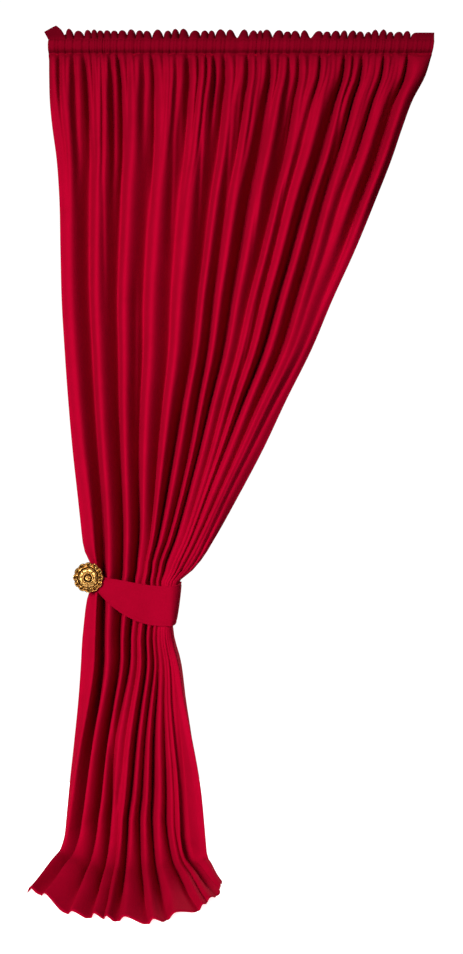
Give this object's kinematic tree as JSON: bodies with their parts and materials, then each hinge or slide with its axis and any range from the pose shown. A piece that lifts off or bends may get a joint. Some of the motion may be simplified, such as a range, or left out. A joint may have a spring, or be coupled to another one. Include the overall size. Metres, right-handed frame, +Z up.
{
  "type": "velvet curtain with tieback and rosette holdback",
  "caption": "Floor-length rod-pocket velvet curtain with a frilled heading, drawn aside by a crescent tieback to a flower rosette holdback, its hem trailing on the floor.",
  "frame": {"origin": "on the axis of the empty rod pocket, at the middle of the heading's length", "axes": "+X along the rod pocket, +Y into the wall, +Z up; the floor that the hem trails on is at z = -2.2 m and the wall at y = 0.08 m"},
  "size_m": [1.0657, 0.46, 2.2414],
  "materials": {
    "velvet": "deep crimson cotton velvet with a short dense pile, soft sheen along the folds",
    "holdback_metal": "cast brass, antiqued dark in its hollows and rubbed bright on its petals"
  },
  "bodies": {
    "root": {"heading": "velvet", "panel": "velvet", "tieback": "velvet", "holdback_stem": "holdback_metal", "holdback_rosette": "holdback_metal"}
  },
  "joints": []
}
